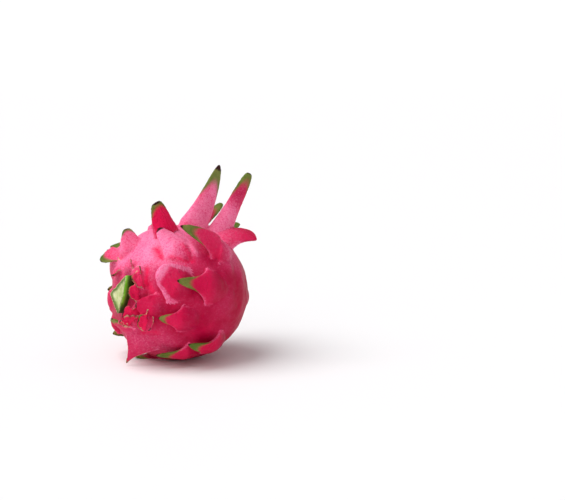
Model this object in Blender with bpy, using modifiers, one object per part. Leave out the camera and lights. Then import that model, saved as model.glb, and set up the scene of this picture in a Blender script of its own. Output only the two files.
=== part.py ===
"""A whole dragon fruit lying on its side, as it comes from the grower.

The rind and the leafy scales that grow out of it are one solid. The wedge of cactus stem that the
picker's knife left on the fruit is the other one, seated in the rind.

Frame: metres, +Z up, +X from the cut stem to the crown. The origin is the middle of the small flat
spot that the fruit rests on. Places on the rind are two angles in degrees: down runs from the stem
pole to the crown pole, around from the top of the fruit over its front.
"""

import math
from dataclasses import dataclass

import bmesh
import bpy
from mathutils import Matrix, Vector

MM = 0.001

# Body: a short berry, its long axis level.
BODY_LENGTH = 0.100
BODY_DIAMETER = 0.094
REST_SPOT_RADIUS = 0.009
NAVEL_RADIUS = 0.0095  # the scar that the dead flower left between the crown scales
NAVEL_DEPTH = 0.0045

# Cut stem: a slice of a cactus stem with three ribs. The first three places in its section, each
# (towards the back, up), are the ribs' tips, the last one is the bulge of the front side.
STEM_RIBS = ((0.0, 0.0152), (0.0138, -0.0062), (0.0, -0.0150), (-0.0014, 0.0))
STEM_CORNERS = 14  # the higher, the sharper the ribs
STEM_STANDS_OUT = 0.0040
STEM_SEAT_DEPTH = 0.0090
STEM_CLEARANCE = 0.0003
STEM_LEAN = 20.0  # degrees from upright
STEM_FORWARD = 0.0126  # how far it sits in front of the pole
STEM_RAISED = 0.0052
STEM_SEGMENTS = 64

# Mesh: body and scales are fused on a grid this fine, then thinned.
FUSE_GRID = 0.0009
FUSE_SMOOTHING = 3
FRUIT_TRIANGLES = 9000

HALF_LENGTH = BODY_LENGTH / 2
RADIUS = BODY_DIAMETER / 2
REST_SINK = RADIUS - math.sqrt(RADIUS**2 - REST_SPOT_RADIUS**2)
CENTRE = Vector((0, 0, RADIUS - REST_SINK))


@dataclass(frozen=True)
class Habit:
    """What the scales of one part of the fruit have in common."""

    neck: float  # share of the free length over which the wide base narrows to the blade
    root_thick: float  # metres
    tip_thick: float
    point: float  # 1 is a long point, under 0.6 a blunt one
    lift: float  # how high the scale's middle stands over the rind where it comes free
    arch: float  # 1 lets the sides of the base follow the rind, more brings them down to it
    upright: bool = False  # the root goes straight into the body instead of along the rind


FLANK = Habit(neck=0.52, root_thick=0.0052, tip_thick=0.0024, point=0.80, lift=0.0026, arch=1.4)
PROUD = Habit(neck=0.52, root_thick=0.0052, tip_thick=0.0026, point=0.80, lift=0.0037, arch=1.4)
LOBE = Habit(neck=0.80, root_thick=0.0070, tip_thick=0.0056, point=0.35, lift=0.0036, arch=1.3)
PAD = Habit(neck=0.70, root_thick=0.0054, tip_thick=0.0030, point=0.60, lift=0.0012, arch=1.2)
COLLAR = Habit(neck=0.70, root_thick=0.0042, tip_thick=0.0022, point=0.50, lift=0.0018, arch=1.2)
TAIL = Habit(neck=0.80, root_thick=0.0042, tip_thick=0.0026, point=0.90, lift=0.0018, arch=1.2)
HORN = Habit(0.90, root_thick=0.0120, tip_thick=0.0034, point=0.32, lift=0, arch=0, upright=True)
TALL = Habit(0.80, root_thick=0.0140, tip_thick=0.0034, point=0.62, lift=0, arch=0, upright=True)
CROWN = Habit(0.60, root_thick=0.0130, tip_thick=0.0036, point=0.32, lift=0, arch=0, upright=True)
LOW = Habit(0.60, root_thick=0.0056, tip_thick=0.0034, point=0.32, lift=0, arch=0, upright=True)


@dataclass(frozen=True)
class Scale:
    """One scale, placed where it comes free of the rind. aim is where the tip points: 0 to the
    stem, 90 the way around grows, 180 to the crown. rise is the angle at which the scale leaves
    the rind, curl what it bends further outwards by its tip. Lengths are in millimetres: the free
    part, the blade's and the base's widths, and the tail that runs back into the rind. turn
    swings the tail sideways, roll turns the blade about its own length."""

    habit: Habit
    down: float
    around: float
    aim: float
    rise: float
    curl: float
    length: float
    blade: float
    base: float
    tail: float
    turn: float = 0.0
    roll: float = 0.0


SCALES = (
    # Flank, front: tongues that point back to the stem.
    Scale(PROUD, 82, 76, -12, 10, 10, 30, 10, 27, 24),
    Scale(PROUD, 59, 103, -6, 9, 8, 17, 9, 21, 18),
    Scale(LOBE, 58, 71, -42, 11, 14, 18, 21, 29, 16),
    Scale(PAD, 68, 36, -74, 5, 4, 20, 15, 24, 18),
    Scale(PROUD, 102, 43, -16, 12, -6, 37, 13, 26, 20, roll=-24),
    Scale(PROUD, 93, 130, -22, 8, -12, 29, 10, 25, 22),
    Scale(FLANK, 73, 141, 6, 5, 0, 22, 9, 20, 20),
    # Flank, back.
    Scale(FLANK, 74, -94, 6, 4, 4, 17, 9, 24, 26),
    Scale(FLANK, 72, -130, -8, 6, 8, 18, 9, 24, 26),
    Scale(FLANK, 76, -168, 10, 3, 2, 18, 10, 22, 24),
    Scale(FLANK, 84, -62, 0, 10, 14, 24, 9, 26, 28),
    Scale(FLANK, 94, -112, -6, 8, 12, 25, 9, 27, 30),
    Scale(FLANK, 98, -148, 12, 6, 8, 24, 9, 24, 28),
    Scale(FLANK, 112, -84, 6, 8, 10, 24, 9, 25, 26),
    Scale(FLANK, 116, -128, -6, 6, 8, 22, 9, 24, 26),
    # Collar round the cut stem.
    Scale(COLLAR, 42, -28, -6, 20, 8, 17, 13, 20, 14, roll=-50),
    Scale(COLLAR, 52, -34, -10, 34, 0, 10, 7, 12, 12, roll=-50),
    Scale(COLLAR, 31, -36, 172, 12, 20, 6, 15, 22, 12),
    Scale(COLLAR, 22, -14, 10, 30, 0, 5, 9, 13, 8),
    Scale(COLLAR, 28, 16, 175, 16, 10, 6, 6, 12, 8),
    Scale(COLLAR, 30, 38, 168, 34, 20, 8, 6, 12, 8),
    Scale(COLLAR, 24, 112, -14, 44, 30, 12, 22, 24, 10),
    Scale(COLLAR, 26, 70, -10, 60, 16, 9, 12, 15, 8),
    Scale(COLLAR, 31, 52, -10, 56, 16, 8, 11, 15, 8),
    Scale(COLLAR, 34, 112, 0, 50, 16, 9, 15, 18, 10),
    Scale(COLLAR, 22, 130, -20, 50, 30, 10, 15, 18, 10),
    Scale(COLLAR, 37, 92, -6, 14, 16, 12, 15, 19, 10),
    Scale(COLLAR, 29, 112, 150, 18, 10, 11, 15, 20, 12),
    Scale(COLLAR, 24, 166, -8, 18, 14, 14, 10, 18, 12),
    Scale(TAIL, 38, 157, 108, 14, 46, 20, 6, 28, 14),
    Scale(COLLAR, 30, -104, 184, 4, 2, 9, 11, 18, 10),
    Scale(COLLAR, 34, -142, 180, 4, 4, 8, 11, 18, 10),
    # Top: horns that stand nearly upright.
    Scale(HORN, 71, 10, 0, 82, 0, 25.5, 14, 20, 8, roll=90),
    Scale(HORN, 46, -12, 170, 66, -10, 13, 11, 20, 8, roll=90),
    Scale(HORN, 84, -26, 180, 50, 0, 9, 6, 12, 8, roll=90),
    # Crown.
    Scale(TALL, 104, 2, 180, 68, 16, 48, 14.5, 23, 12, roll=90),
    Scale(CROWN, 130, 6, 0, 82, 0, 52, 13.5, 24, 10, roll=90),
    Scale(CROWN, 130, 17, 172, 64, -46, 27, 16, 22, 12, roll=20),
    Scale(CROWN, 117, -30, 178, 50, 8, 44, 9, 18, 12, roll=60),
    Scale(CROWN, 134, -28, 180, 60, 0, 37, 12, 18, 12, roll=40),
    Scale(CROWN, 134, -80, 180, 44, 10, 24, 10, 20, 12),
    Scale(CROWN, 140, -128, 180, 40, 10, 20, 10, 20, 12),
    Scale(LOW, 150, 172, 180, 14, 0, 12, 10, 18, 10),
    Scale(LOW, 160, 110, 180, 4, 0, 8, 9, 14, 8),
)


@dataclass(frozen=True)
class Ridge:
    """A soft fold of the rind between two places on it. A hollow has a height under nought."""

    down: float
    around: float
    end_down: float
    end_around: float
    height: float  # millimetres
    width: float


RIDGES = (
    Ridge(77, 16, 80, 46, 1.5, 3.2),
    Ridge(73, 13, 72, 35, -2, 2),
    Ridge(72, 35, 75, 52, -1.6, 2.2),
    Ridge(53, 38, 71, 51, -1.5, 2),
    Ridge(54, 23, 53, 34, -3.4, 3),
    Ridge(112, 40, 108, 60, 1.6, 5),
    Ridge(58, 92, 78, 110, 1, 6),
    Ridge(46, -30, 72, -10, 1.2, 6),
    Ridge(27, 96, 30, 126, -1.6, 3),
    Ridge(34, 50, 36, 72, -1, 2.5),
    Ridge(47, 56, 45, 72, -0.9, 2),
    Ridge(45, 72, 53, 90, -1.1, 2),
    Ridge(38, 40, 33, 61, -1.8, 1.8),
    Ridge(31, 33, 26, 56, -1.6, 1.6),
    Ridge(34, 30, 30, 50, 1.2, 1.6),
    Ridge(34, 139, 44, 128, -1.6, 2.4),
    Ridge(70, 120, 86, 112, -1, 4),
    Ridge(24, -90, 44, -90, -3.2, 18),
    Ridge(56, -86, 84, -62, 1.4, 6),
    Ridge(62, -128, 88, -108, 1.4, 6),
)


def direction_of(down, around):
    """Unit vector from the body's centre."""
    t, f = math.radians(down), math.radians(around)
    return Vector((-math.cos(t), -math.sin(t) * math.sin(f), math.sin(t) * math.cos(f)))


def distance_to_ridge(direction, ridge):
    start = direction_of(ridge.down, ridge.around)
    end = direction_of(ridge.end_down, ridge.end_around)
    run = end - start
    share = max(0, min(1, (direction - start).dot(run) / run.length_squared))
    return (direction - start - run * share).length * RADIUS


def rind_at(direction):
    """Where a ray from the body's centre meets the rind, and the rind's outward normal there."""
    stretched = Vector((direction.x / HALF_LENGTH, direction.y / RADIUS, direction.z / RADIUS))
    reach = 1 / stretched.length
    normal = Vector((stretched.x / HALF_LENGTH, stretched.y / RADIUS, stretched.z / RADIUS))
    from_navel = direction.angle(Vector((1, 0, 0)), 0.0) * RADIUS
    reach -= NAVEL_DEPTH * math.exp(-((from_navel / NAVEL_RADIUS) ** 2))
    for ridge in RIDGES:
        off = distance_to_ridge(direction, ridge) / (ridge.width * MM)
        reach += ridge.height * MM * math.exp(-(off**2))
    return CENTRE + direction * reach, normal.normalized()


class Spine:
    """A scale's middle line: the tail goes into the rind, the free part leaves it."""

    def __init__(self, scale, steps=24):
        self.scale, self.habit = scale, scale.habit
        self.length, self.tail = scale.length * MM, scale.tail * MM
        self.out = direction_of(scale.down, scale.around)
        root, self.normal = rind_at(self.out)
        to_stem = Vector((-1, 0, 0))
        to_stem = (to_stem - self.normal * to_stem.dot(self.normal)).normalized()
        level = Matrix.Rotation(math.radians(scale.aim), 3, self.normal) @ to_stem
        self.back = -(Matrix.Rotation(math.radians(scale.turn), 3, self.normal) @ level)
        self.free = []
        point = root + self.normal * self.habit.lift
        for step in range(steps + 1):
            pitch = math.radians(scale.rise + scale.curl * step / steps)
            run = level * math.cos(pitch) + self.normal * math.sin(pitch)
            across = Matrix.Rotation(math.radians(scale.roll), 3, run) @ self.normal.cross(level)
            self.free.append((point.copy(), across, run.cross(across), self.normal))
            point = point + run * self.length / steps

    def at(self, along):
        """Point, width direction, face direction and rind normal, this far past the root."""
        if along < 0 and self.habit.upright:
            point, across, face, normal = self.free[0]
            return point + face.cross(across) * -along, across, face, normal
        if along < 0:
            turn = -along / RADIUS
            direction = (self.out * math.cos(turn) + self.back * math.sin(turn)).normalized()
            point, normal = rind_at(direction)
            run = (self.out * math.sin(turn) - self.back * math.cos(turn)).normalized()
            across = normal.cross(run).normalized()
            share = -along / self.tail
            height = self.habit.lift * (1 - share) ** 1.5
            height -= self.habit.root_thick * 0.62 * share**1.5
            return point + normal * height, across, run.cross(across), normal
        place = along / self.length * (len(self.free) - 1)
        low = min(int(place), len(self.free) - 2)
        pair = zip(self.free[low], self.free[low + 1])
        return tuple(a.lerp(b, place - low) for a, b in pair)


def outline(scale, along):
    """Half width and half thickness of the scale, this far past its root, in metres."""
    habit = scale.habit
    blade, base = scale.blade * MM / 2, scale.base * MM / 2
    if along < 0:
        share = min(1, -along / (scale.tail * MM))
        return base * math.sqrt(1 - share**2), habit.root_thick / 2 * (1 - share**3)
    share = min(1, along / (scale.length * MM))
    taper = (1 - share**3) ** habit.point
    flare = max(0, 1 - share / habit.neck) ** 1.8
    thick = habit.tip_thick + (habit.root_thick - habit.tip_thick) * (1 - share) ** 2
    return blade * taper + (base - blade) * flare, thick / 2 * taper**0.5


def add_scale(bm, scale, segments=24, rings=48):
    """A ball drawn out along the scale's spine and flattened to its outline."""
    spine = Spine(scale)
    habit = scale.habit
    made = bmesh.ops.create_uvsphere(bm, u_segments=segments, v_segments=rings, radius=1)
    for vert in made["verts"]:
        share = 1 - math.acos(max(-1, min(1, vert.co.z))) / math.pi
        along = -spine.tail + share * (spine.tail + spine.length)
        width, thick = outline(scale, along)
        point, across, face, normal = spine.at(along)
        turn = math.atan2(vert.co.y, vert.co.x)
        x = width * math.cos(turn)
        y = thick * math.copysign(abs(math.sin(turn)) ** 1.3, math.sin(turn))
        hold = 1 if along < 0 else max(0, 1 - along / spine.length / habit.neck)
        droop = habit.arch * x**2 / (2 * RADIUS) * hold
        full = width if along < 0 else scale.base * MM / 2
        droop += habit.lift * (x / max(full, 1e-6)) ** 2
        vert.co = point + across * x + face * y - normal * droop
    bmesh.ops.recalc_face_normals(bm, faces=list({f for v in made["verts"] for f in v.link_faces}))


def add_body(bm):
    made = bmesh.ops.create_uvsphere(bm, u_segments=128, v_segments=80, radius=1)
    bmesh.ops.rotate(bm, verts=made["verts"], matrix=Matrix.Rotation(math.pi / 2, 3, "Y"))
    for vert in made["verts"]:
        vert.co = rind_at(vert.co.normalized())[0]


def clear_scene():
    for old in list(bpy.data.objects):
        bpy.data.objects.remove(old, do_unlink=True)


def new_object(name, bm, collection):
    mesh = bpy.data.meshes.new(name)
    bm.to_mesh(mesh)
    bm.free()
    made = bpy.data.objects.new(name, mesh)
    collection.objects.link(made)
    return made


def new_cutter(name, bm, collection):
    cutter = new_object(name, bm, collection)
    cutter.hide_render = True
    cutter.display_type = "WIRE"
    return cutter


def paint(part, colour, roughness):
    material = bpy.data.materials.new(part.name)
    material.use_nodes = True
    shader = material.node_tree.nodes["Principled BSDF"]
    shader.inputs["Base Color"].default_value = (*colour, 1)
    shader.inputs["Roughness"].default_value = roughness
    part.data.materials.append(material)


def subtract(part, cutter):
    cut = part.modifiers.new("cut_" + cutter.name, "BOOLEAN")
    cut.operation = "DIFFERENCE"
    cut.solver = "EXACT"
    cut.object = cutter


def stem_reach(turn, clearance):
    """How far the stem's section reaches from its middle in this direction, and that middle."""
    ribs = [Vector(rib) for rib in STEM_RIBS]
    heart = sum(ribs, Vector((0, 0))) / len(ribs)
    ray = Vector((math.cos(turn), math.sin(turn)))
    total = 0
    for start, end in zip(ribs, ribs[1:] + ribs[:1]):
        run = (end - start).normalized()
        out = Vector((-run.y, run.x))
        total += (max(0, out.dot(ray)) / (out.dot(start - heart) + clearance)) ** STEM_CORNERS
    return total ** (-1 / STEM_CORNERS), heart


def stem_prism(outer, inner, clearance):
    """The stem's section drawn along X from outer to inner, grown by the clearance."""
    bm = bmesh.new()
    bmesh.ops.create_cone(
        bm, cap_ends=True, segments=STEM_SEGMENTS, radius1=1, radius2=1, depth=1
    )
    bmesh.ops.rotate(bm, verts=bm.verts, matrix=Matrix.Rotation(-math.pi / 2, 3, "Y"))
    for vert in bm.verts:
        turn = math.atan2(vert.co.z, vert.co.y)
        reach, heart = stem_reach(turn, clearance)
        y, z = heart.x + math.cos(turn) * reach, heart.y + math.sin(turn) * reach
        vert.co = Vector((outer if vert.co.x < 0 else inner, y, z))
    lean = Matrix.Rotation(math.radians(STEM_LEAN), 3, "X")
    bmesh.ops.rotate(bm, verts=bm.verts, cent=(0, 0, 0), matrix=lean)
    bmesh.ops.translate(bm, verts=bm.verts, vec=CENTRE + Vector((0, -STEM_FORWARD, STEM_RAISED)))
    bmesh.ops.recalc_face_normals(bm, faces=bm.faces)
    return bm


def build():
    clear_scene()
    scene = bpy.context.scene
    parts = bpy.data.collections.new("dragon_fruit")
    cutters = bpy.data.collections.new("cutters")
    scene.collection.children.link(parts)
    scene.collection.children.link(cutters)

    bm = bmesh.new()
    add_body(bm)
    for scale in SCALES:
        add_scale(bm, scale)
    fruit = new_object("fruit", bm, parts)
    fuse = fruit.modifiers.new("fuse", "REMESH")
    fuse.mode = "VOXEL"
    fuse.voxel_size = FUSE_GRID
    smooth = fruit.modifiers.new("smooth", "SMOOTH")
    smooth.iterations = FUSE_SMOOTHING

    thin = fruit.modifiers.new("thin", "DECIMATE")
    fine = fruit.evaluated_get(bpy.context.evaluated_depsgraph_get())
    thin.ratio = FRUIT_TRIANGLES / (2 * len(fine.data.polygons))
    floor = bmesh.new()
    bmesh.ops.create_cube(floor, size=0.4)
    bmesh.ops.translate(floor, verts=floor.verts, vec=(0, 0, -0.2))
    subtract(fruit, new_cutter("floor", floor, cutters))
    seat_floor = -HALF_LENGTH + STEM_SEAT_DEPTH
    seat = stem_prism(-HALF_LENGTH - 0.01, seat_floor + STEM_CLEARANCE, STEM_CLEARANCE)
    subtract(fruit, new_cutter("stem_seat", seat, cutters))
    paint(fruit, (0.72, 0.04, 0.16), 0.5)

    stem = new_object("stem_stub", stem_prism(-HALF_LENGTH - STEM_STANDS_OUT, seat_floor, 0), parts)
    paint(stem, (0.30, 0.52, 0.14), 0.55)


build()
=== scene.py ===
import math

import bmesh
import bpy
from mathutils import Matrix, Vector, noise
from mathutils.kdtree import KDTree


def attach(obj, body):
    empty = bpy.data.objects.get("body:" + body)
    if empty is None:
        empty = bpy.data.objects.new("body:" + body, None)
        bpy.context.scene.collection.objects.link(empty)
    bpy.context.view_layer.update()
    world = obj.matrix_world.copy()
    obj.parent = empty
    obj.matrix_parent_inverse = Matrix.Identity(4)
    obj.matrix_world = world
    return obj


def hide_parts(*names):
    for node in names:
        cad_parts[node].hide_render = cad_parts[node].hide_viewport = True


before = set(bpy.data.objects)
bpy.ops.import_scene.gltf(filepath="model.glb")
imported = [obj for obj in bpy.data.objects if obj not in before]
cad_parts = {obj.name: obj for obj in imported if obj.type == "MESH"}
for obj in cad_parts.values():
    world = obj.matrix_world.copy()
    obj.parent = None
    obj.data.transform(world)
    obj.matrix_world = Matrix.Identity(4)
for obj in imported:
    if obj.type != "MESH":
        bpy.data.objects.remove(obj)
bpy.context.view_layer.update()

scene = bpy.context.scene
mm = 0.001


# Frame helpers


# 0 at low, 1 at high, and eased between. low may be the larger one.
def smoothstep(low, high, value):
    share = min(1, max(0, (value - low) / (high - low)))
    return share * share * (3 - 2 * share)


def mix(a, b, share):
    return a + (b - a) * share


def newPiece(name, bm):
    mesh = bpy.data.meshes.new(name)
    bm.to_mesh(mesh)
    bm.free()
    mesh.shade_smooth()
    piece = bpy.data.objects.new(name, mesh)
    scene.collection.objects.link(piece)
    return piece


def applyModifiers(piece):
    evaluated = piece.evaluated_get(bpy.context.evaluated_depsgraph_get())
    mesh = bpy.data.meshes.new_from_object(evaluated)
    piece.modifiers.clear()
    piece.data = mesh


# Shader maths

# A socket that can be added, multiplied and fed to further nodes.
class Wire:
    def __init__(self, tree, socket):
        self.tree = tree
        self.socket = socket

    def make(self, kind, settings=None, sockets=None, output=0):
        made = self.tree.nodes.new(kind)
        for key, value in (settings or {}).items():
            setattr(made, key, value)
        for key, value in (sockets or {}).items():
            if isinstance(value, Wire):
                self.tree.links.new(value.socket, made.inputs[key])
            else:
                made.inputs[key].default_value = value
        return Wire(self.tree, made.outputs[output])

    def maths(self, operation, *values, clamp=False):
        settings = {"operation": operation, "use_clamp": clamp}
        return self.make("ShaderNodeMath", settings, dict(enumerate(values)))

    def __add__(self, other):
        return self.maths("ADD", self, other)

    def __radd__(self, other):
        return self.maths("ADD", other, self)

    def __sub__(self, other):
        return self.maths("SUBTRACT", self, other)

    def __rsub__(self, other):
        return self.maths("SUBTRACT", other, self)

    def __mul__(self, other):
        return self.maths("MULTIPLY", self, other)

    def __rmul__(self, other):
        return self.maths("MULTIPLY", other, self)

    def clamped(self):
        return self.maths("MULTIPLY", self, 1.0, clamp=True)

    def step(self, low, high):
        sockets = {"Value": self, "From Min": low, "From Max": high, "To Min": 0.0, "To Max": 1.0}
        return self.make("ShaderNodeMapRange", {"interpolation_type": "SMOOTHSTEP"}, sockets)

    # The colour under where this wire is 0, over where it is 1.
    def blend(self, under, over):
        sockets = {0: self, 6: under, 7: over}
        return self.make("ShaderNodeMix", {"data_type": "RGBA"}, sockets, output=2)

    def grain(self, scale, detail=3.0, roughness=0.55, distortion=0.0):
        sockets = {"Vector": self, "Scale": scale, "Detail": detail, "Roughness": roughness,
                   "Distortion": distortion}
        return self.make("ShaderNodeTexNoise", {"noise_dimensions": "3D"}, sockets)

    def attribute(self, name):
        return self.make("ShaderNodeAttribute", {"attribute_name": name}, output=2)

    def bump(self, height, distance, normal=None):
        sockets = {"Height": height, "Distance": distance, "Strength": 1.0}
        if normal:
            sockets["Normal"] = normal
        return self.make("ShaderNodeBump", {}, sockets)


# A screen colour of 0 to 255 a channel, as the light it stands for.
def colour(screen):
    shares = [value / 255 for value in screen]
    return (*(share / 12.92 if share <= 0.04045 else ((share + 0.055) / 1.055) ** 2.4
              for share in shares), 1.0)


def newMaterial(name):
    material = bpy.data.materials.new(name)
    material.use_nodes = True
    tree = material.node_tree
    shader = tree.nodes["Principled BSDF"]
    place = tree.nodes.new("ShaderNodeTexCoord")
    return material, shader, Wire(tree, place.outputs["Object"])


def feed(shader, **inputs):
    for name, value in inputs.items():
        socket = shader.inputs[name.replace("_", " ")]
        if isinstance(value, Wire):
            value.tree.links.new(value.socket, socket)
        else:
            socket.default_value = value


# Fruit: the berry and its scales, fused into one skin

fruitSize = {
    "length": 0.100,
    "diameter": 0.094,
    "restSpotRadius": 0.009,
    "navelRadius": 0.0095,
    "navelDepth": 0.0045,
    "lump": 0.0006,
    "pimple": 0.00025,
    "grid": 0.00055,
    "quickGridShare": 1.6,
    "smoothing": 4,
    "creasePasses": 8,
    "creaseDepth": 0.000012,
    "floorGap": 0.0001,
    "triangles": 190000,
}
rindColours = {
    "crimson": (180, 0, 56),
    "pink": (242, 78, 134),
    "dust": (255, 158, 196),
    # inner: the crimson of the scales' inner faces, also used as painted shade in grooves and along shaded
    # margins
    "inner": (236, 24, 84),
    "tornEdge": (222, 196, 158),
    "scorchedEdge": (128, 92, 58),
    "leafGreen": (70, 112, 34),
    "leafOlive": (124, 136, 66),
    "dryTip": (62, 34, 32),
}
halfLength = fruitSize["length"] / 2
radius = fruitSize["diameter"] / 2
restSink = radius - math.sqrt(radius**2 - fruitSize["restSpotRadius"] ** 2)
centre = Vector((0, 0, radius - restSink))

# neck: share of the free length over which the base narrows to the blade. point: 1 long, 0.4 blunt.
# lift and arch: how the base stands over the rind. upright: the root goes straight into the body.
# green and dry: shares of the length at the tip. red: how crimson the inner face is, on the side
# that face names. shadedMargin: painted shade, crimson along the shaded margin. rim: torn, brown margin.
# brim: frosted margin.
# cup and ruffle bend the margins.
habits = {
    "flank": dict(neck=0.52, rootThick=5.2, tipThick=1.9, point=0.80, lift=2.6, arch=1.4, upright=False,
                  green=0.42, dry=0.07, red=0.7, rim=0.35, cup=0.10, ruffle=0.0),
    "lobe": dict(neck=0.80, rootThick=7.0, tipThick=5.6, point=0.45, lift=3.6, arch=1.3, upright=False,
                 green=0.0, dry=0.0, red=0.8, rim=0.0, cup=0.05, ruffle=0.3, brim=True),
    "pad": dict(neck=0.70, rootThick=5.4, tipThick=3.0, point=0.60, lift=1.2, arch=1.2, upright=False,
                green=0.0, dry=0.10, red=0.0, rim=0.1, cup=0.0, ruffle=0.2),
    "collar": dict(neck=0.70, rootThick=4.2, tipThick=1.7, point=0.50, lift=1.8, arch=1.2, upright=False,
                   green=0.06, dry=0.05, red=0.55, rim=1.0, cup=0.15, ruffle=1.0),
    "horn": dict(neck=0.90, rootThick=12.0, tipThick=3.0, point=0.35, lift=0.0, arch=0.0, upright=True,
                 green=0.14, dry=0.05, red=1.0, rim=0.4, cup=0.10, ruffle=0.2),
    "tall": dict(neck=0.80, rootThick=14.0, tipThick=3.0, point=0.70, lift=0.0, arch=0.0, upright=True,
                 green=0.29, dry=0.09, red=0.0, rim=0.2, cup=0.05, ruffle=0.1, shadedMargin=1),
    "crown": dict(neck=0.60, rootThick=13.0, tipThick=3.4, point=0.32, lift=0.0, arch=0.0, upright=True,
                  green=0.15, dry=0.02, red=0.0, rim=0.2, cup=0.05, ruffle=0.1, shadedMargin=1),
}
habitDefaults = dict(roll=0, face=1, shadedMargin=0, brim=False)

# kind, down, around, aim, rise, curl, length, blade, base, tail, then what differs from the habit.
# Angles in degrees, lengths in millimetres.
scaleTable = [
    # Flank, front
    ("flank", 82, 76, -12, 10, 10, 30, 10, 27, 24, {"lift": 3.8, "tipThick": 2.4, "cup": 0.3}),
    ("flank", 59, 103, -6, 9, 8, 17, 9, 21, 18, {"green": 0.3, "lift": 3.4, "cup": 0.3}),
    ("lobe", 58, 71, -42, 11, 14, 18, 21, 29, 16, {"cup": 0.3, "point": 0.35}),
    ("pad", 68, 36, -74, 5, 4, 20, 15, 24, 18, {}),
    ("flank", 102, 43, -16, 12, -6, 37, 13, 26, 20, {"green": 0.36, "roll": -24, "lift": 4.4, "cup": 0.3}),
    ("flank", 93, 130, -22, 8, -12, 29, 10, 25, 22, {"lift": 3.6, "cup": 0.3}),
    ("flank", 73, 141, 6, 5, 0, 22, 9, 20, 20, {"green": 0.5, "lift": 3.0}),
    # Flank, back
    ("flank", 74, -94, 6, 4, 4, 17, 9, 24, 26, {}),
    ("flank", 72, -130, -8, 6, 8, 18, 9, 24, 26, {}),
    ("flank", 76, -168, 10, 3, 2, 18, 10, 22, 24, {}),
    ("flank", 84, -62, 0, 10, 14, 24, 9, 26, 28, {}),
    ("flank", 94, -112, -6, 8, 12, 25, 9, 27, 30, {}),
    ("flank", 98, -148, 12, 6, 8, 24, 9, 24, 28, {}),
    ("flank", 112, -84, 6, 8, 10, 24, 9, 25, 26, {}),
    ("flank", 116, -128, -6, 6, 8, 22, 9, 24, 26, {}),
    # Collar round the cut stem
    ("collar", 42, -28, -6, 20, 8, 17, 13, 20, 14, {"roll": -50, "ruffle": 0.1, "rim": 0.2, "green": 0.3}),
    ("collar", 52, -34, -10, 34, 0, 10, 7, 12, 12, {"roll": -50, "ruffle": 0.2, "green": 0.8}),
    ("collar", 31, -36, 172, 12, 20, 6, 15, 22, 12, {"ruffle": 0.4, "red": 0.1, "green": 0.3}),
    ("collar", 22, -14, 10, 30, 0, 5, 9, 13, 8, {"ruffle": 1.2, "red": 0.3}),
    ("collar", 28, 16, 175, 16, 10, 6, 6, 12, 8, {"red": 0.2}),
    ("collar", 30, 38, 168, 34, 20, 8, 6, 12, 8, {"ruffle": 0.5}),
    ("collar", 24, 112, -14, 44, 30, 12, 22, 24, 10, {"ruffle": 2.0, "red": 1.1, "green": 0.0}),
    ("collar", 26, 70, -10, 60, 16, 9, 12, 15, 8, {"ruffle": 1.6, "red": 0.9}),
    ("collar", 31, 52, -10, 56, 16, 8, 11, 15, 8, {"ruffle": 1.6, "red": 0.8}),
    ("collar", 34, 112, 0, 50, 16, 9, 15, 18, 10, {"ruffle": 1.8, "red": 1.1}),
    ("collar", 22, 130, -20, 50, 30, 10, 15, 18, 10, {"ruffle": 1.8, "red": 0.9, "green": 0.0}),
    ("collar", 37, 92, -6, 14, 16, 12, 15, 19, 10, {"ruffle": 0.4, "rim": 0.5, "green": 0.0, "cup": 0.4}),
    ("collar", 29, 112, 150, 18, 10, 11, 15, 20, 12, {"red": 0.1, "green": 0.0}),
    ("collar", 24, 166, -8, 18, 14, 14, 10, 18, 12, {"green": 0.35, "red": 0.3}),
    ("collar", 38, 157, 108, 14, 46, 20, 6, 28, 14,
     {"red": 0.1, "green": 0.1, "point": 0.9, "neck": 0.8, "ruffle": 0.2}),
    ("collar", 30, -104, 184, 4, 2, 9, 11, 18, 10, {"lift": 1.0}),
    ("collar", 34, -142, 180, 4, 4, 8, 11, 18, 10, {}),
    # Top: horns
    ("horn", 71, 10, 0, 82, 0, 25.5, 14, 20, 8, {"roll": 90, "face": -1, "point": 0.3, "red": 1.8}),
    ("horn", 46, -12, 170, 66, -10, 13, 11, 20, 8, {"roll": 90, "red": 0.2}),
    ("horn", 84, -26, 180, 50, 0, 9, 6, 12, 8, {"roll": 90, "green": 0.7}),
    # Crown
    ("tall", 104, 2, 180, 68, 16, 48, 14.5, 23, 12, {"roll": 90, "point": 0.62}),
    ("crown", 130, 6, 0, 82, 0, 52, 13.5, 24, 10, {"roll": 90}),
    ("crown", 130, 17, 172, 64, -46, 27, 16, 22, 12, {"roll": 20, "red": 0.7, "green": 0.0, "point": 0.22}),
    ("crown", 117, -30, 178, 50, 8, 44, 9, 18, 12, {"roll": 60, "green": 0.25}),
    ("crown", 134, -28, 180, 60, 0, 37, 12, 18, 12, {"roll": 40, "green": 0.35}),
    ("crown", 134, -80, 180, 44, 10, 24, 10, 20, 12, {}),
    ("crown", 140, -128, 180, 40, 10, 20, 10, 20, 12, {}),
    ("crown", 150, 172, 180, 14, 0, 12, 10, 18, 10, {"rootThick": 6}),
    ("crown", 160, 110, 180, 4, 0, 8, 9, 14, 8, {"rootThick": 5}),
]
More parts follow.
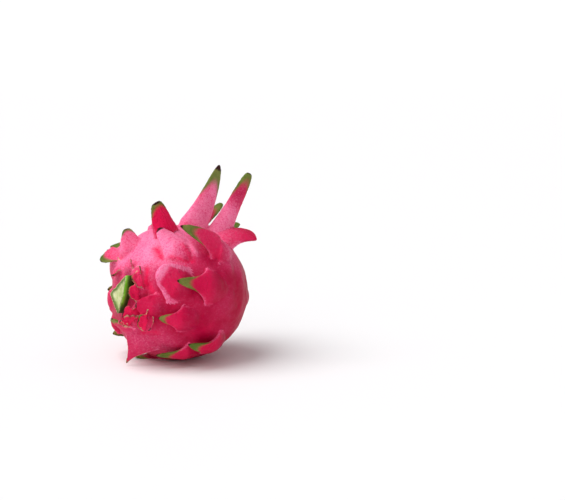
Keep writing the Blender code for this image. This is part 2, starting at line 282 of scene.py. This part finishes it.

# down, around, to down, around; height and width in millimetres; then painted light: crimson painted shade
# in the groove below 0, pale painted highlight on the ridge above
ridgeTable = [
    (77, 16, 80, 46, 1.5, 3.2, 0.5),
    (73, 13, 72, 35, -2.0, 2.0, -1.2),
    (72, 35, 75, 52, -1.6, 2.2, -1.0),
    (53, 38, 71, 51, -1.5, 2.0, -1.0),
    (54, 23, 53, 34, -3.4, 3.0, -1.3),
    (112, 40, 108, 60, 1.6, 5, 0.2),
    (58, 92, 78, 110, 1.0, 6, 0.0),
    (46, -30, 72, -10, 1.2, 6, 0.3),
    (27, 96, 30, 126, -1.6, 3.0, -1.0),
    (34, 50, 36, 72, -1.0, 2.5, -0.8),
    (47, 56, 45, 72, -0.9, 2.0, -0.5),
    (45, 72, 53, 90, -1.1, 2.0, -0.7),
    (38, 40, 33, 61, -1.8, 1.8, -1.2),
    (31, 33, 26, 56, -1.6, 1.6, -1.2),
    (34, 30, 30, 50, 1.2, 1.6, 0.3),
    (34, 139, 44, 128, -1.6, 2.4, -0.7),
    (70, 120, 86, 112, -1.0, 4.0, -0.4),
    (24, -90, 44, -90, -3.2, 18, 0.0),
    (56, -86, 84, -62, 1.4, 6, 0.0),
    (62, -128, 88, -108, 1.4, 6, 0.0),
]

# down, around, width and strength of the pale bloom
frostTable = [
    (60, 4, 0.55, 0.9),
    (58, 36, 0.40, 0.5),
    (42, -8, 0.40, 0.5),
    (78, 14, 0.25, 0.4),
    (116, 4, 0.32, 1.0),
    (118, 40, 0.34, 0.55),
    (42, 150, 0.40, 0.4),
    (66, -70, 0.7, 0.5),
    (100, -120, 0.5, 0.3),
]


def directionOf(down, around):
    t, f = math.radians(down), math.radians(around)
    return Vector((-math.cos(t), -math.sin(t) * math.sin(f), math.sin(t) * math.cos(f)))


ridges = [(directionOf(a, b), directionOf(c, d), height * mm, width * mm, paintedLight)
          for a, b, c, d, height, width, paintedLight in ridgeTable]
frostPlaces = [(directionOf(down, around), width, strength) for down, around, width, strength in frostTable]
spineSteps = 32


# How far a place on the rind is from a ridge's line, in ridge widths.
def distanceTo(ridge, direction):
    start, end, _, width, _ = ridge
    run = end - start
    share = max(0, min(1, (direction - start).dot(run) / run.length_squared))
    return (direction - start - run * share).length * radius / width


# Where a ray from the centre meets the rind, and the normal there.
def rindAt(direction):
    stretched = Vector((direction.x / halfLength, direction.y / radius, direction.z / radius))
    reach = 1 / stretched.length
    normal = Vector((stretched.x / halfLength, stretched.y / radius, stretched.z / radius)).normalized()
    fromNavel = direction.angle(Vector((1, 0, 0)), 0.0) * radius
    reach -= fruitSize["navelDepth"] * math.exp(-((fromNavel / fruitSize["navelRadius"]) ** 2))
    for ridge in ridges:
        reach += ridge[2] * math.exp(-(distanceTo(ridge, direction) ** 2))
    reach += (fruitSize["lump"] * noise.noise(direction * 5)
              + fruitSize["pimple"] * noise.noise(direction * 13))
    return centre + direction * reach, normal


# One scale: its spine, its outline and its looks.
class Scale:
    def __init__(self, row, index):
        kind, down, around, aim, rise, curl, length, blade, base, tail, differs = row
        self.look = {**habitDefaults, **habits[kind], **differs}
        self.index = index
        self.length, self.tail = length * mm, tail * mm
        self.blade, self.base = blade * mm / 2, base * mm / 2
        self.lift = self.look["lift"] * mm
        self.out = directionOf(down, around)
        root, self.normal = rindAt(self.out)
        toStem = Vector((-1, 0, 0))
        toStem = (toStem - self.normal * toStem.dot(self.normal)).normalized()
        level = Matrix.Rotation(math.radians(aim), 3, self.normal) @ toStem
        self.back = -level
        self.free = []
        point = root + self.normal * self.lift
        for step in range(spineSteps + 1):
            pitch = math.radians(rise + curl * step / spineSteps)
            run = level * math.cos(pitch) + self.normal * math.sin(pitch)
            across = Matrix.Rotation(math.radians(self.look["roll"]), 3, run) @ self.normal.cross(level)
            self.free.append((point.copy(), across, run.cross(across), self.normal))
            point = point + run * self.length / spineSteps

    def spineAt(self, along):
        if along < 0 and self.look["upright"]:
            point, across, face, normal = self.free[0]
            return point + face.cross(across) * -along, across, face, normal
        if along < 0:
            turn = -along / radius
            direction = (self.out * math.cos(turn) + self.back * math.sin(turn)).normalized()
            point, normal = rindAt(direction)
            run = (self.out * math.sin(turn) - self.back * math.cos(turn)).normalized()
            across = normal.cross(run).normalized()
            share = -along / self.tail
            height = self.lift * (1 - share) ** 1.5 - self.look["rootThick"] * mm * 0.62 * share**1.5
            return point + normal * height, across, run.cross(across), normal
        place = along / self.length * (len(self.free) - 1)
        low = min(int(place), len(self.free) - 2)
        return tuple(a.lerp(b, place - low) for a, b in zip(self.free[low], self.free[low + 1]))

    # Half width and half thickness, this far past the root.
    def outlineAt(self, along):
        root, tip = self.look["rootThick"] * mm, self.look["tipThick"] * mm
        if along < 0:
            share = min(1, -along / self.tail)
            return self.base * math.sqrt(1 - share**2), root / 2 * (1 - share**3)
        share = min(1, along / self.length)
        taper = (1 - share**3) ** self.look["point"]
        flare = max(0, 1 - share / self.look["neck"]) ** 1.8
        width = self.blade * taper + (self.base - self.blade) * flare
        return width, (tip + (root - tip) * (1 - share) ** 2) / 2 * taper**0.5

    def add(self, bm, marks, segments=36, rings=72):
        part = bmesh.new()
        bmesh.ops.create_uvsphere(part, u_segments=segments, v_segments=rings, radius=1)
        ringOf, made = {}, []
        for vert in part.verts:
            key = round(vert.co.z, 5)
            if key not in ringOf:
                share = 1 - math.acos(max(-1, min(1, vert.co.z))) / math.pi
                along = -self.tail + share * (self.tail + self.length)
                ringOf[key] = (along, self.outlineAt(along), self.spineAt(along))
            along, (width, thick), (point, across, face, normal) = ringOf[key]
            turn = math.atan2(vert.co.y, vert.co.x)
            side = math.cos(turn)
            x = width * side
            y = thick * math.copysign(abs(math.sin(turn)) ** 1.3, math.sin(turn))
            forward = along / self.length
            hold = 1 if along < 0 else max(0, 1 - forward / self.look["neck"])
            droop = self.look["arch"] * x**2 / (2 * radius) * hold
            full = width if along < 0 else self.base
            droop += self.lift * (x / max(full, 1e-6)) ** 2
            if along > 0:
                bend = self.look["cup"] * width * side**2 * min(1, forward * 3)
                wave = noise.noise(Vector((along * 330 + self.index * 7, side * 1.5, self.index)))
                bend += self.look["ruffle"] * 0.0022 * wave * abs(side) * min(1, forward * 3)
                y += bend
                wave = noise.noise(Vector((along * 420, side, self.index + 9)))
                x *= 1 + self.look["ruffle"] * 0.22 * wave
            vert.co = point + across * x + face * y - normal * droop
            made.append((self.index, forward, side, math.sin(turn)))
        bmesh.ops.recalc_face_normals(part, faces=part.faces)
        part.normal_update()
        marks += [(vert.co.copy(), vert.normal.copy(), *mark) for vert, mark in zip(part.verts, made)]
        mesh = bpy.data.meshes.new("scale")
        part.to_mesh(mesh)
        part.free()
        bm.from_mesh(mesh)
        bpy.data.meshes.remove(mesh)


def addBody(bm, marks):
    bmesh.ops.create_uvsphere(bm, u_segments=256, v_segments=160, radius=1)
    bmesh.ops.rotate(bm, verts=bm.verts, matrix=Matrix.Rotation(math.pi / 2, 3, "Y"))
    for vert in bm.verts:
        vert.co = rindAt(vert.co.normalized())[0]
    bm.normal_update()
    marks += [(vert.co.copy(), vert.normal.copy(), -1, 0.0, 0.0, 0.0) for vert in bm.verts]


# The fused skin, with the marks of the nearest source point for each of its points.
def fuseFruit():
    bm, marks = bmesh.new(), []
    addBody(bm, marks)
    scales = [Scale(row, index) for index, row in enumerate(scaleTable)]
    for scale in scales:
        scale.add(bm, marks)
    tree = KDTree(len(marks))
    for index, mark in enumerate(marks):
        tree.insert(mark[0], index)
    tree.balance()
    skin = newPiece("fruit_skin", bm)
    fuse = skin.modifiers.new("fuse", "REMESH")
    fuse.mode = "VOXEL"
    fuse.voxel_size = fruitSize["grid"] * 1
    smooth = skin.modifiers.new("smooth", "SMOOTH")
    smooth.iterations = fruitSize["smoothing"]
    applyModifiers(skin)
    print("fused", len(skin.data.vertices))
    return skin, scales, marks, tree


# Rounds the valleys where scales meet the rind, and leaves their margins sharp.
def softenCreases(skin):
    bm = bmesh.new()
    bm.from_mesh(skin.data)
    for _ in range(fruitSize["creasePasses"]):
        bm.normal_update()
        valley = []
        for vert in bm.verts:
            middle = Vector()
            for edge in vert.link_edges:
                middle += edge.other_vert(vert).co
            toMiddle = middle / len(vert.link_edges) - vert.co
            if toMiddle.dot(vert.normal) > fruitSize["creaseDepth"]:
                valley.append(vert)
        bmesh.ops.smooth_vert(
            bm, verts=valley, factor=0.5, use_axis_x=True, use_axis_y=True, use_axis_z=True)
    for vert in bm.verts:
        vert.co.z = max(vert.co.z, fruitSize["floorGap"])
    bm.to_mesh(skin.data)
    bm.free()


# Stores how green, dry, red, rimmed and frosted each point of the skin is. Red also holds painted shade in
# the grooves and along the shaded margins of upright scales, and the frosting holds painted highlights on
# the raised ridges.
def paintFruit(skin, scales, marks, tree):
    names = ("green", "dry", "red", "rim", "bloomAndHighlight")
    fields = {name: [] for name in names}
    facingAway = 0.004

    def fit(found, normal):
        return found[2] + facingAway * max(0, 0.5 - marks[found[1]][1].dot(normal))

    for vert in skin.data.vertices:
        nearest = min(tree.find_n(vert.co, 8), key=lambda found: fit(found, vert.normal))[1]
        owner, forward, side, up = marks[nearest][2:]
        direction = (vert.co - centre).normalized()
        bloomAndHighlight = 0.04
        for place, width, strength in frostPlaces:
            bloomAndHighlight += strength * math.exp(-((direction - place).length / width) ** 2)
        green = dry = red = rim = 0.0
        # Painted light along the ridges: crimson painted shade in the grooves, pale painted highlight on
        # the raised ridges.
        if owner < 0 or forward < 0:
            for ridge in ridges:
                if ridge[4]:
                    near = math.exp(-(distanceTo(ridge, direction) ** 2) * 1.4)
                    bloomAndHighlight += max(0, ridge[4]) * near
                    red = max(red, -ridge[4] * near)
        if owner >= 0:
            look = scales[owner].look
            inner = smoothstep(-0.2, 0.5, up * look["face"])
            out = smoothstep(-0.25, 0.15, forward)
            margin = abs(side) ** 3
            start = 1 - look["green"]
            if look["green"]:
                green = smoothstep(start - 0.18, start + 0.20, forward + 0.26 * margin)
            if look["dry"]:
                dry = smoothstep(1 - look["dry"] * 1.6, 1 - look["dry"] * 0.4, forward)
            red = max(red * (1 - out), look["red"] * inner * out)
            if look["brim"]:
                brim = smoothstep(0.62, 0.80, max(abs(side), forward))
                red *= 1 - brim
                bloomAndHighlight += 0.7 * brim
            rim = look["rim"] * smoothstep(0.72, 0.98, abs(side)) * smoothstep(0.0, 0.3, forward)
            bloomAndHighlight = mix(bloomAndHighlight, 0.5, smoothstep(0.0, 0.5, forward) * (1 - inner) * 0.6)
            corner = smoothstep(0.76, 0.98, abs(side)) * smoothstep(0.6, 0.1, abs(forward))
            bloomAndHighlight += 0.6 * corner
            red *= 1 - 0.5 * corner
            if look["upright"]:
                pale = 1.2 * (1 - max(0, forward)) ** 2 * smoothstep(-0.1, 0.35, forward)
                bloomAndHighlight += pale * (1 - min(1, look["red"] * inner))
                bloomAndHighlight = mix(bloomAndHighlight, 0.3, smoothstep(0.3, 0.7, forward) * (1 - inner))
                # Painted shade: crimson along the margin of the upright scale that faces away from the
                # light.
                shadedMargin = look["shadedMargin"] * side * smoothstep(0.1, 0.6, forward)
                red = max(red, 0.6 * smoothstep(0.1, 0.95, shadedMargin))
        for name, value in zip(names, (green, dry, red, rim, min(1, bloomAndHighlight))):
            fields[name].append(value)
    mesh = skin.data
    for name in names:
        layer = mesh.attributes.new(name, "FLOAT", "POINT")
        layer.data.foreach_set("value", fields[name])
    print("painted")


def rindMaterial():
    material, shader, place = newMaterial("rind")
    green, dry = place.attribute("green"), place.attribute("dry")
    red, rim = place.attribute("red"), place.attribute("rim")
    bloomAndHighlight = place.attribute("bloomAndHighlight")
    cloud = place.grain(70.0, 4.0, 0.6)
    speck = place.grain(1500.0, 2.0, 0.6)
    fleck = place.grain(700.0, 3.0, 0.7)
    patch = place.grain(34.0, 3.0, 0.55)
    # Frosting, with the painted highlights on the ridges, turns the crimson rind pink and dusty.
    frostAndHighlight = (bloomAndHighlight * 0.9 + (cloud - 0.5) * 0.45 + (patch - 0.5) * 0.4).clamped()
    base = frostAndHighlight.blend(colour(rindColours["crimson"]), colour(rindColours["pink"]))
    dust = ((speck - 0.5) * 1.4 + (fleck - 0.5) * 1.6 + frostAndHighlight * 0.6 + 0.1).step(0.1, 0.9)
    base = (dust * (0.06 + 0.6 * frostAndHighlight)).blend(base, colour(rindColours["dust"]))
    # The crimson over red is partly the scales' own inner faces and partly painted shade in grooves and on
    # shaded margins.
    deep = (red * (0.82 + 0.7 * (cloud - 0.5)) * (1.0 - 0.3 * dust)).clamped()
    base = deep.blend(base, colour(rindColours["inner"]))
    edge = (rim * (0.4 + cloud)).step(0.35, 0.8)
    edgeColour = fleck.step(0.42, 0.6).blend(
        colour(rindColours["tornEdge"]), colour(rindColours["scorchedEdge"]))
    base = (edge * 0.75).blend(base, edgeColour)
    leaf = (green + (fleck - 0.5) * 0.35 + (cloud - 0.5) * 0.3).step(0.12, 0.88)
    leafColour = cloud.step(0.35, 0.65).blend(
        colour(rindColours["leafGreen"]), colour(rindColours["leafOlive"]))
    base = (leaf * 0.95).blend(base, leafColour)
    tip = (dry + (fleck - 0.5) * 0.4).step(0.3, 0.7)
    base = tip.blend(base, colour(rindColours["dryTip"]))
    crumple = place.grain(150.0, 2.0, 0.5, 1.5)
    folds = place.bump(cloud * 0.7 + patch + crumple * red * 0.8, 0.0018)
    normal = place.bump(speck * 0.3 + fleck * 0.7, 0.0001, folds)
    feed(shader, Base_Color=base, Roughness=0.46 + (cloud - 0.5) * 0.2, Normal=normal)
    feed(shader, Subsurface_Weight=0.10, Subsurface_Scale=0.0015, IOR=1.4, Specular_IOR_Level=0.09)
    feed(shader, Subsurface_Radius=(1.0, 0.3, 0.3))
    return material


skin, scales, marks, nearest = fuseFruit()
softenCreases(skin)
paintFruit(skin, scales, marks, nearest)
thin = skin.modifiers.new("thin", "DECIMATE")
thin.ratio = min(1, fruitSize["triangles"] / (2 * len(skin.data.polygons)))
applyModifiers(skin)
skin.data.shade_smooth()
skin.data.materials.clear()
skin.data.materials.append(rindMaterial())
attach(skin, "root")
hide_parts("fruit")
print("fruit", len(skin.data.polygons))


# Cut stem

stemSize = {
    "ribs": ((0.0000, 0.0152), (0.0138, -0.0062), (0.0000, -0.0150), (-0.0014, 0.0000)),
    "standsOut": 0.0040,
    "seatDepth": 0.0090,
    "lean": 20.0,
    "forward": 0.0126,
    "raised": 0.0052,
    "hollow": 0.0008,
    "roughCut": 0.0006,
    "ripple": 0.06,
    "corners": 14,
}
stemColours = {
    "pith": (214, 216, 166),
    "pithShade": (168, 184, 112),
    "ring": (104, 130, 58),
    "cutEdge": (196, 196, 140),
    "dash": (92, 84, 40),
    "wall": (112, 202, 38),
    "wallLight": (150, 222, 80),
    # the lower wall colour is painted shade; the wall colours above are its lit copy
    "wallShadedLow": (66, 104, 52),
    # the deep wall colour is painted shade away from the cut edge, towards the fruit
    "wallShadedDeep": (48, 74, 22),
}


# How far the stem's three-ribbed section reaches from its middle, in this direction.
def stemReach(turn):
    ribs = [Vector(rib) for rib in stemSize["ribs"]]
    heart = sum(ribs, Vector((0, 0))) / len(ribs)
    ray = Vector((math.cos(turn), math.sin(turn)))
    total = 0
    for start, end in zip(ribs, ribs[1:] + ribs[:1]):
        run = (end - start).normalized()
        out = Vector((-run.y, run.x))
        facing = max(0, out.dot(ray)) / out.dot(start - heart)
        total += facing ** stemSize["corners"]
    return total ** (-1 / stemSize["corners"]), heart


# A slice of a three-ribbed stem with a skin, its cut face a little dished.
def buildStem():
    bm = bmesh.new()
    bmesh.ops.create_cone(bm, cap_ends=True, segments=72, radius1=1, radius2=1, depth=1)
    bmesh.ops.rotate(bm, verts=bm.verts, matrix=Matrix.Rotation(-math.pi / 2, 3, "Y"))
    walls = [edge for edge in bm.edges if abs(edge.verts[0].co.x - edge.verts[1].co.x) > 0.5]
    bmesh.ops.subdivide_edges(bm, edges=walls, cuts=8, use_grid_fill=True)
    for thickness in (0.05, 0.1, 0.12, 0.2, 0.25):
        cut = [face for face in bm.faces if face.normal.x < -0.9 and len(face.verts) > 8]
        bmesh.ops.inset_region(bm, faces=cut, thickness=thickness, depth=0, use_even_offset=True)
        bm.normal_update()
    rims = []
    outer, inner = -halfLength - stemSize["standsOut"], -halfLength + stemSize["seatDepth"]
    for vert in bm.verts:
        level, across, up = vert.co
        reach = math.hypot(across, up)
        turn = math.atan2(up, across)
        onWall = Vector((math.cos(turn), math.sin(turn), level * 0.6))
        ripple = 1 + stemSize["ripple"] * noise.noise(onWall * 2.4)
        wide, heart = stemReach(turn)
        y = heart.x + math.cos(turn) * wide * reach * ripple
        z = heart.y + math.sin(turn) * wide * reach * ripple
        isCut = level < -0.49
        x = mix(outer, inner, level + 0.5)
        if isCut:
            x += stemSize["hollow"] * smoothstep(1.0, 0.6, reach)
            x += stemSize["roughCut"] * noise.noise(Vector((y * 200, z * 200, 4)))
        rims.append(reach if isCut else 2.5 + level)
        vert.co = Vector((x, y, z))
    lean = Matrix.Rotation(math.radians(stemSize["lean"]), 3, "X")
    bmesh.ops.rotate(bm, verts=bm.verts, cent=(0, 0, 0), matrix=lean)
    place = centre + Vector((0, -stemSize["forward"], stemSize["raised"]))
    bmesh.ops.translate(bm, verts=bm.verts, vec=place)
    bmesh.ops.recalc_face_normals(bm, faces=bm.faces)
    piece = newPiece("stem", bm)
    layer = piece.data.attributes.new("rim", "FLOAT", "POINT")
    layer.data.foreach_set("value", rims)
    return piece


def stemMaterial():
    material, shader, place = newMaterial("stem")
    rim = place.attribute("rim")
    cloud = place.grain(240.0, 4.0, 0.6)
    fleck = place.grain(900.0, 3.0, 0.7)
    pith = cloud.step(0.3, 0.7).blend(colour(stemColours["pith"]), colour(stemColours["pithShade"]))
    skinGreen = cloud.step(0.35, 0.65).blend(colour(stemColours["wall"]), colour(stemColours["wallLight"]))
    # Painted shade: the skin of the stem goes darker lower down, where it faces away from the light; the
    # colours above are its lit copy.
    height = place.make("ShaderNodeSeparateXYZ", {}, {"Vector": place}, output=2)
    low = (height + (cloud - 0.5) * 0.006).step(0.048, 0.041)
    skinGreen = low.blend(skinGreen, colour(stemColours["wallShadedLow"]))
    # Painted shade: the skin goes darker away from the cut edge, towards the fruit.
    shadedDeep = (rim + (cloud - 0.5) * 0.3).step(2.05, 2.35)
    skinGreen = shadedDeep.blend(skinGreen, colour(stemColours["wallShadedDeep"]))
    ring = (rim + (cloud - 0.5) * 0.25).step(0.62, 0.86)
    base = ring.blend(pith, colour(stemColours["ring"]))
    edge = (rim + (fleck - 0.5) * 0.06).step(0.93, 0.985)
    base = edge.blend(base, colour(stemColours["cutEdge"]))
    wall = rim.step(1.05, 1.5)
    dash = (fleck * rim.step(0.5, 0.9)).step(0.5, 0.56) * (1.0 - wall)
    base = (dash * 0.8).blend(base, colour(stemColours["dash"]))
    base = wall.blend(base, skinGreen)
    normal = place.bump(fleck * 0.6 + cloud, 0.0002)
    feed(shader, Base_Color=base, Roughness=0.42 + (cloud - 0.5) * 0.2, Normal=normal)
    feed(shader, Subsurface_Weight=0.1, Subsurface_Scale=0.0012, Specular_IOR_Level=0.3)
    feed(shader, Subsurface_Radius=(0.5, 1.0, 0.2))
    return material


stem = buildStem()
stem.data.materials.append(stemMaterial())
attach(stem, "root")
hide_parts("stem_stub")
print("stem")


# Stage: a pale floor that rises in the distance, two soft suns and the camera

stageLook = {
    "azimuth": -34,
    "elevation": 10,
    "distance": 1.1,
    "lookAt": 0.0472,
    "lens": 100.0,
    "sensor": 36,
    "aimRight": -0.0666,
    "aimUp": -0.0261,
    "floorHalfSize": 30,
    "floorColour": (0.95, 0.94, 0.95, 1),
    "riseFrom": 6,
    "riseSlope": 0.3,
    "skyStrength": 0.3,
}
# name, strength, angle in degrees, then where it stands: right, near and up
suns = [
    ("key", 2.5, 50, (-0.5, 0.12, 0.85)),
    ("front", 0.9, 70, (-0.15, 1.0, 0.35)),
]


# A place given to the camera's right, towards the camera and up from the fruit.
def viewTurned(right, near, up):
    turn = math.radians(stageLook["azimuth"])
    toRight = Vector((math.cos(turn), math.sin(turn), 0))
    toCamera = Vector((math.sin(turn), -math.cos(turn), 0))
    return toRight * right + toCamera * near + Vector((0, 0, up))


def buildFloor():
    bm = bmesh.new()
    bmesh.ops.create_grid(bm, x_segments=40, y_segments=40, size=stageLook["floorHalfSize"])
    for vert in bm.verts:
        away = vert.co.dot(viewTurned(0, -1, 0)) - stageLook["riseFrom"]
        vert.co.z = max(0, away) * stageLook["riseSlope"]
    floor = newPiece("floor", bm)
    material, shader, place = newMaterial("floor")
    feed(shader, Base_Color=stageLook["floorColour"], Roughness=0.7, Specular_IOR_Level=0.1)
    floor.data.materials.append(material)
    return floor


def addSun(name, strength, angle, place):
    data = bpy.data.lights.new(name, "SUN")
    data.energy, data.angle = strength, math.radians(angle)
    lamp = bpy.data.objects.new(name, data)
    lamp.rotation_mode = "QUATERNION"
    lamp.rotation_quaternion = (-viewTurned(*place)).to_track_quat("-Z", "Y")
    scene.collection.objects.link(lamp)


def lightSky():
    world = bpy.data.worlds.new("studio")
    scene.world = world
    world.use_nodes = True
    sky = world.node_tree.nodes["Background"]
    sky.inputs["Color"].default_value = (1, 1, 1, 1)
    sky.inputs["Strength"].default_value = stageLook["skyStrength"]
    scene.view_settings.view_transform = "Standard"


def addCamera():
    elevation = math.radians(stageLook["elevation"])
    back = viewTurned(0, math.cos(elevation), math.sin(elevation))
    data = bpy.data.cameras.new("camera")
    data.lens, data.sensor_width, data.clip_start = stageLook["lens"], stageLook["sensor"], 0.02
    camera = bpy.data.objects.new("camera", data)
    scene.collection.objects.link(camera)
    camera.location = Vector((0, 0, stageLook["lookAt"])) + back * stageLook["distance"]
    yaw = math.atan(stageLook["aimRight"])
    pitch = math.atan(stageLook["aimUp"] * math.cos(yaw))
    base = (-back).to_track_quat("-Z", "Y").to_matrix()
    turn = base @ Matrix.Rotation(yaw, 3, "Y") @ Matrix.Rotation(-pitch, 3, "X")
    camera.rotation_mode = "QUATERNION"
    camera.rotation_quaternion = turn.to_quaternion()
    scene.camera = camera


buildFloor()
for sun in suns:
    addSun(*sun)
lightSky()
addCamera()
print("staged")
